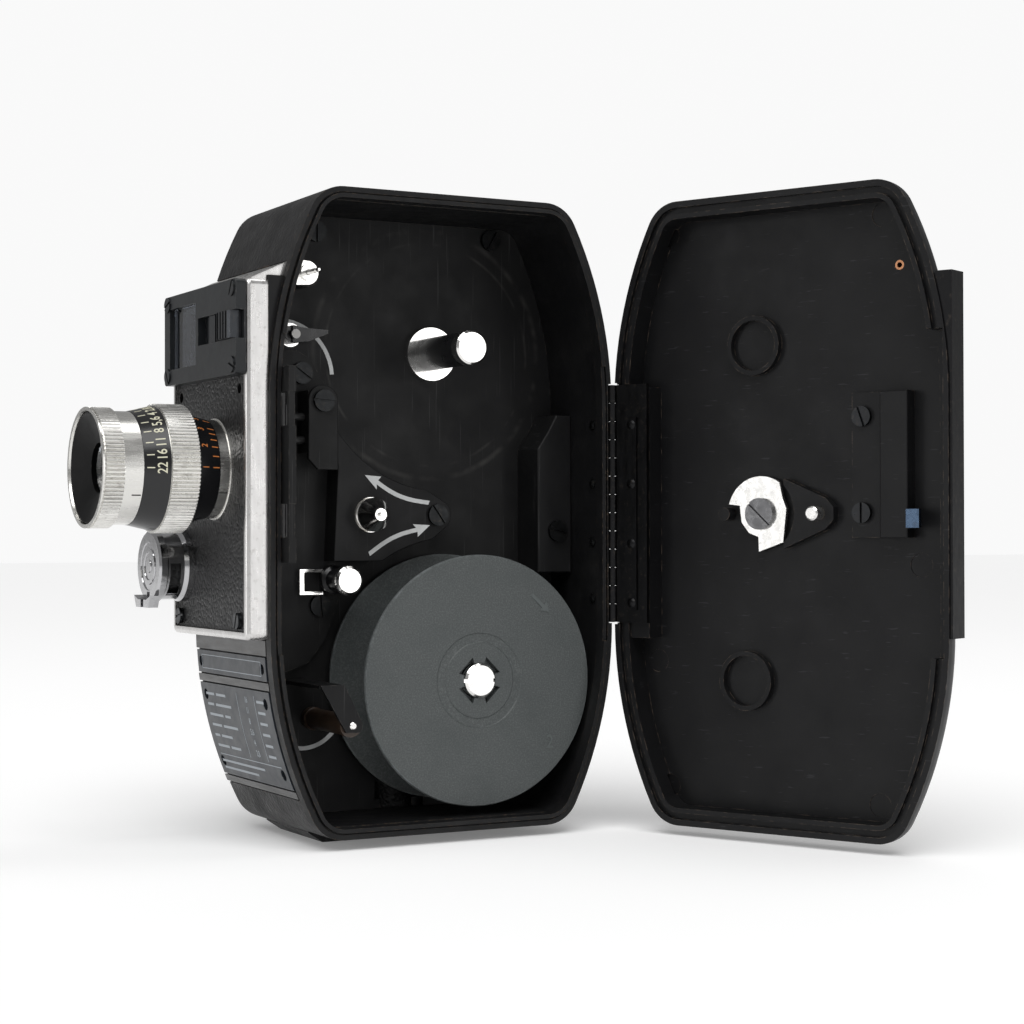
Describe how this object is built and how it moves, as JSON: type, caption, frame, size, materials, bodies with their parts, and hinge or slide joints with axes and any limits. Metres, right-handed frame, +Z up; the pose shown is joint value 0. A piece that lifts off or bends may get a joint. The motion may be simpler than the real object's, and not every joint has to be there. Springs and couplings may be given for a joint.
{
  "type": "cine camera",
  "caption": "Spring-driven film movie camera with a D-shaped body, short front lens, eye-level finder and a side door hinged open on its film chamber.",
  "frame": {"origin": "centre of the tripod socket's mouth on the underside of the foot", "axes": "+Z up, -X towards the lens front, -Y towards the open film chamber, +Y towards the winding side"},
  "size_m": [0.1361, 0.1118, 0.1228],
  "materials": {
    "dark_paint": "satin dark paint",
    "leatherette": "black grained covering",
    "foot_paint": "black paint",
    "label_blue": "dark blue-grey enamel",
    "bright_strip": "brushed",
    "polished_aluminium": "polished",
    "crackle_black": "crackle paint",
    "finder_paint": "satin dark blue-grey paint",
    "black_enamel": "gloss black enamel",
    "lens_silver": "knurled, worn",
    "chrome": "polished",
    "glass": "coated",
    "nickel": "polished nickel",
    "steel": "machined",
    "dark_steel": "blackened",
    "blue_steel": "blued",
    "chamber_grey": "satin dark grey paint",
    "spool_plastic": "fine grain",
    "roller_brown": "satin",
    "white_paint": "matt",
    "brass": "turned",
    "copper": "bare copper-coloured",
    "black_sleeve": "satin"
  },
  "bodies": {
    "case": {"case_shell": "dark_paint", "case_covering": "leatherette", "base_foot": "foot_paint", "label_plates": "label_blue", "trim_strips": "bright_strip", "front_frame": "polished_aluminium", "front_plate": "crackle_black", "finder_housing": "finder_paint", "finder_tube": "black_enamel", "lens_mount": "polished_aluminium", "lens_barrel": "lens_silver", "lens_inner_rings": "black_enamel", "glass_elements": "glass", "front_screws": "dark_steel", "mechanism_plate": "chamber_grey", "channel_plate": "chamber_grey", "guide_horn": "chamber_grey", "gate_bridge": "chamber_grey", "gate_block": "steel", "roller_bracket": "chamber_grey", "nickel_fittings": "nickel", "hinge_block": "chamber_grey", "keeper_strip": "chamber_grey", "chassis_fixings": "dark_steel", "film_path_marks": "white_paint", "body_hinge_leaf": "steel", "hinge_pin": "steel"},
    "door": {"door_shell": "dark_paint", "door_covering": "leatherette", "lock_housing": "chamber_grey", "lock_screws": "nickel", "door_fittings": "copper", "front_band": "bright_strip", "door_hinge_leaf": "steel", "door_rivets": "steel"},
    "door_turn": {"door_knob": "polished_aluminium", "latch_cam": "nickel", "cam_screw": "nickel"},
    "bolt": {"latch_bolt": "blue_steel"},
    "focus": {"focus_ring": "lens_silver"},
    "aperture": {"aperture_ring": "lens_silver"},
    "button": {"release_button": "chrome"},
    "collar": {"release_collar": "chrome"},
    "slider": {"finder_slider": "dark_steel"},
    "lever": {"gate_lever": "nickel"},
    "pressure": {"pressure_plate": "steel"},
    "feeler": {"counter_pin": "nickel"},
    "supply": {"supply_spindle": "nickel", "supply_sleeve": "black_sleeve"},
    "takeup": {"takeup_spindle": "nickel"},
    "spool": {"takeup_spool": "spool_plastic"},
    "lower_roller": {"film_roller": "roller_brown"},
    "upper_roller": {"loop_roller": "dark_steel"},
    "shutter_disc": {"shutter": "dark_steel"},
    "governor_rotor": {"governor": "brass"},
    "winding": {"spring_barrel": "steel", "key_hub": "chrome"},
    "key": {"key_wing": "chrome"},
    "claw": {"pulldown_claw": "steel"},
    "speed": {"speed_dial": "chrome"}
  },
  "joints": [
    {"name": "door_hinge", "type": "hinge", "parent": "case", "child": "door", "pos_m": [0.0362, -0.0275, 0.0644], "axis": [0, 0, 1], "range_deg": [-114.5, 10]},
    {"name": "door_knob_turn", "type": "hinge", "parent": "door", "child": "door_turn", "pos_m": [0.04926, -0.05616, 0.06215], "axis": [0.91, 0.4147, 0], "range_deg": [0, 75]},
    {"name": "door_bolt", "type": "slide", "parent": "door", "child": "bolt", "axis": [0.4147, -0.91, 0], "range_m": [0, 0.0035]},
    {"name": "focus_turn", "type": "hinge", "parent": "case", "child": "focus", "pos_m": [-0.05, -0.0091, 0.0707], "axis": [1, 0, 0], "range_deg": [-40, 200]},
    {"name": "aperture_turn", "type": "hinge", "parent": "case", "child": "aperture", "pos_m": [-0.05, -0.0091, 0.0707], "axis": [1, 0, 0], "range_deg": [-45, 90]},
    {"name": "release_press", "type": "slide", "parent": "case", "child": "button", "axis": [1, 0, 0], "range_m": [0, 0.00085], "stiffness_N_per_m": 300, "springref_m": -0.0005},
    {"name": "release_lock_turn", "type": "hinge", "parent": "case", "child": "collar", "pos_m": [-0.042, 0.0091, 0.0523], "axis": [1, 0, 0], "range_deg": [0, 90]},
    {"name": "finder_mask_slide", "type": "slide", "parent": "case", "child": "slider", "axis": [0, 1, 0], "range_m": [0, 0.003]},
    {"name": "gate_lever_turn", "type": "hinge", "parent": "case", "child": "lever", "pos_m": [-0.0235, -0.008, 0.0969], "axis": [0, 1, 0], "range_deg": [0, 30]},
    {"name": "pressure_plate_slide", "type": "slide", "parent": "case", "child": "pressure", "axis": [1, 0, 0], "range_m": [0, 0.002]},
    {"name": "counter_feeler_press", "type": "slide", "parent": "case", "child": "feeler", "axis": [0, 1, 0], "range_m": [0, 0.0025], "stiffness_N_per_m": 30, "springref_m": -0.001},
    {"name": "supply_turn", "type": "hinge", "parent": "case", "child": "supply", "pos_m": [0.0065, -0.015, 0.0943], "axis": [0, 1, 0], "continuous": true},
    {"name": "takeup_turn", "type": "hinge", "parent": "case", "child": "takeup", "pos_m": [0.0084, -0.015, 0.03025], "axis": [0, 1, 0], "continuous": true},
    {"name": "spool_lift_off", "type": "slide", "parent": "takeup", "child": "spool", "axis": [0, -1, 0], "range_m": [0, 0.03]},
    {"name": "lower_roller_turn", "type": "hinge", "parent": "case", "child": "lower_roller", "pos_m": [-0.0188, -0.015, 0.0228], "axis": [0, 1, 0], "continuous": true},
    {"name": "upper_roller_turn", "type": "hinge", "parent": "case", "child": "upper_roller", "pos_m": [-0.0153, -0.0115, 0.0496], "axis": [0, 1, 0], "continuous": true},
    {"name": "shutter_turn", "type": "hinge", "parent": "case", "child": "shutter_disc", "pos_m": [-0.03, -0.0003, 0.0707], "axis": [1, 0, 0], "continuous": true},
    {"name": "governor_turn", "type": "hinge", "parent": "case", "child": "governor_rotor", "pos_m": [-0.0178, 0.005, 0.038], "axis": [0, 1, 0], "continuous": true},
    {"name": "winding_turn", "type": "hinge", "parent": "case", "child": "winding", "pos_m": [0.0062, 0.01, 0.064], "axis": [0, 1, 0], "continuous": true},
    {"name": "key_fold", "type": "hinge", "parent": "winding", "child": "key", "pos_m": [0.0022, 0.0172, 0.064], "axis": [0, 0, 1], "range_deg": [0, 90]},
    {"name": "claw_stroke", "type": "slide", "parent": "case", "child": "claw", "axis": [0, 0, 1], "range_m": [-0.0019, 0.0019]},
    {"name": "speed_turn", "type": "hinge", "parent": "case", "child": "speed", "pos_m": [-0.0218, 0.014, 0.026], "axis": [0, 1, 0], "range_deg": [-120, 120]}
  ],
  "couplings": [
    {"joint": "door_bolt", "follows": "door_knob_turn", "m_per_rad": 0.002673},
    {"joint": "gate_lever_turn", "follows": "pressure_plate_slide", "rad_per_m": 261.7},
    {"joint": "governor_turn", "follows": "shutter_turn", "ratio": 3}
  ]
}
